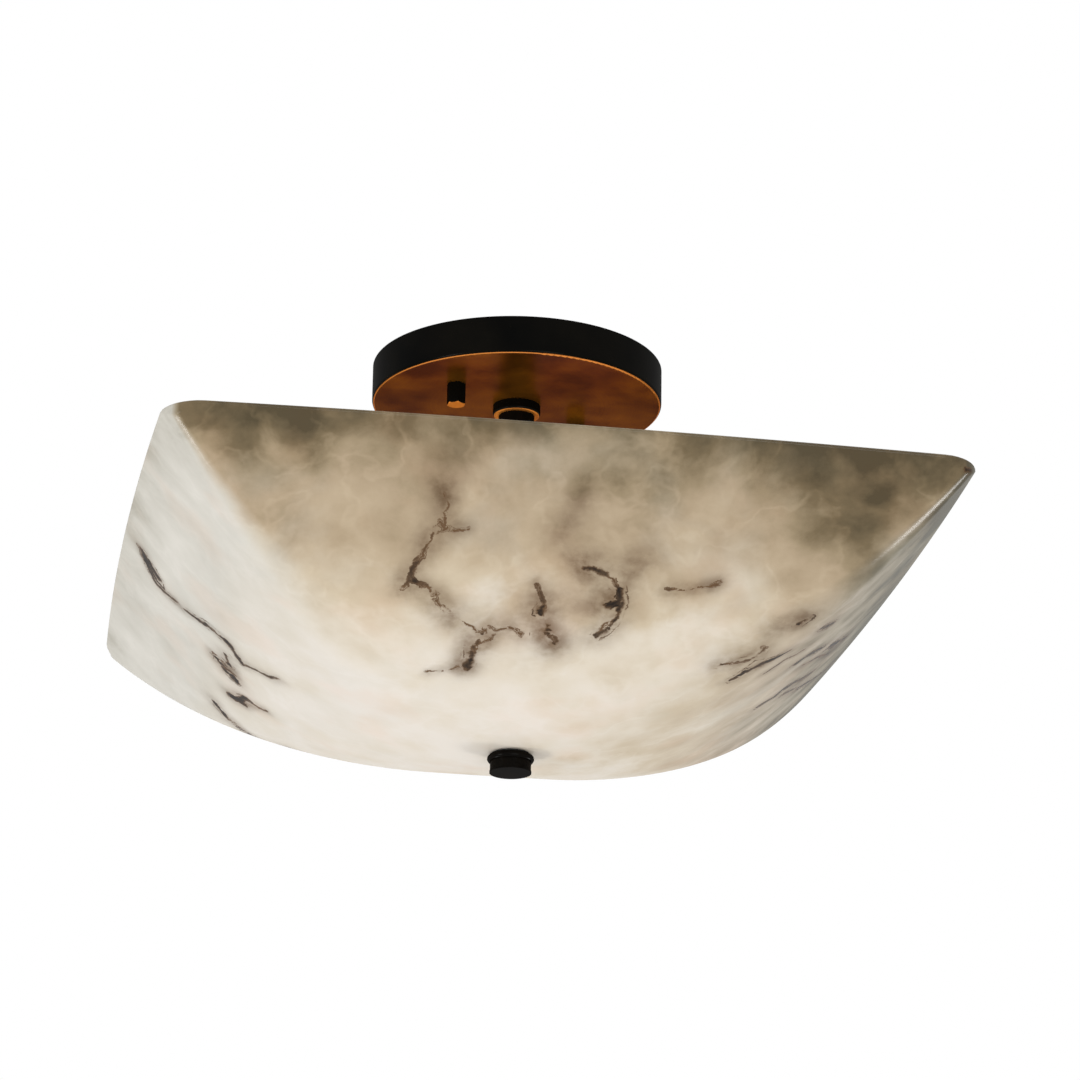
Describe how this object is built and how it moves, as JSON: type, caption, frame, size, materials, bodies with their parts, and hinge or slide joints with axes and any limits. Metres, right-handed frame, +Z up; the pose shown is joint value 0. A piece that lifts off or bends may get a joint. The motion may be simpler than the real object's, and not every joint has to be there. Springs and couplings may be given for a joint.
{
  "type": "semi flush ceiling light",
  "caption": "Square domed stone-look bowl hung close under a round bronze ceiling canopy on a short stem, held by a finial, with lampholders inside.",
  "frame": {"origin": "centre of the box strap's top face, in the plane of the ceiling", "axes": "+Z up into the ceiling, X along the box strap and along one pair of the bowl's sides"},
  "size_m": [0.3536, 0.3536, 0.1942],
  "materials": {
    "stone_resin": "cast resin with the look of veined alabaster, satin polish",
    "dark_bronze": "dark bronze, satin, with copper where light catches it",
    "zinc_steel": "zinc plated",
    "ground_green": "green, satin",
    "porcelain": "white glazed porcelain",
    "socket_brass": "bright stamped brass",
    "bulb_cap": "bright",
    "frosted_glass": "frosted inside",
    "gasket_rubber": "matt"
  },
  "bodies": {
    "ceiling_bracket": {"box_strap": "zinc_steel", "bar_rivet": "zinc_steel", "ground_screw": "ground_green"},
    "fixture": {"swivel_bar": "zinc_steel", "canopy_screws": "zinc_steel", "canopy": "dark_bronze", "lock_washer": "zinc_steel", "pipe_nuts": "zinc_steel", "inner_pipe": "zinc_steel", "stem_collar": "dark_bronze", "stem_tube": "dark_bronze", "hub_body": "dark_bronze", "hub_cover": "dark_bronze", "cover_screws": "zinc_steel", "lampholder_nipples": "zinc_steel", "bowl_rod": "zinc_steel", "rod_nuts": "zinc_steel", "bowl_washer": "zinc_steel", "upper_gasket": "gasket_rubber", "lampholder_1": "porcelain", "screw_shell_1": "socket_brass", "centre_contact_1": "socket_brass", "lampholder_2": "porcelain", "screw_shell_2": "socket_brass", "centre_contact_2": "socket_brass"},
    "cap_nut_near": {"cap_nut_near": "dark_bronze"},
    "cap_nut_far": {"cap_nut_far": "dark_bronze"},
    "bowl": {"bowl": "stone_resin"},
    "finial_seat": {"lower_gasket": "gasket_rubber"},
    "finial": {"finial": "dark_bronze"},
    "bulb_1": {"bulb_1_base": "bulb_cap", "bulb_1_glass": "frosted_glass"},
    "bulb_2": {"bulb_2_base": "bulb_cap", "bulb_2_glass": "frosted_glass"}
  },
  "joints": [
    {"name": "bracket_swivel", "type": "hinge", "parent": "ceiling_bracket", "child": "fixture", "pos_m": [0, 0, -0.0024], "axis": [0, 0, 1], "range_deg": [-12, 78]},
    {"name": "cap_nut_near_unscrew", "type": "slide", "parent": "fixture", "child": "cap_nut_near", "axis": [0, 0, -1], "range_m": [0, 0.01]},
    {"name": "cap_nut_far_unscrew", "type": "slide", "parent": "fixture", "child": "cap_nut_far", "axis": [0, 0, -1], "range_m": [0, 0.01]},
    {"name": "bowl_lower", "type": "slide", "parent": "fixture", "child": "bowl", "axis": [0, 0, -1], "range_m": [0, 0.12]},
    {"name": "finial_travel", "type": "slide", "parent": "bowl", "child": "finial_seat", "axis": [0, 0, -1], "range_m": [0, 0.008]},
    {"name": "finial_turn", "type": "hinge", "parent": "finial_seat", "child": "finial", "pos_m": [0, 0, -0.1889], "axis": [0, 0, -1], "range_deg": [0, 3060]},
    {"name": "bulb_1_unscrew", "type": "slide", "parent": "fixture", "child": "bulb_1", "axis": [-0.7071, -0.7071, 0], "range_m": [0, 0.024]},
    {"name": "bulb_2_unscrew", "type": "slide", "parent": "fixture", "child": "bulb_2", "axis": [0.7071, 0.7071, 0], "range_m": [0, 0.024]}
  ],
  "couplings": [
    {"joint": "finial_travel", "follows": "finial_turn", "m_per_rad": 0.00014976}
  ]
}
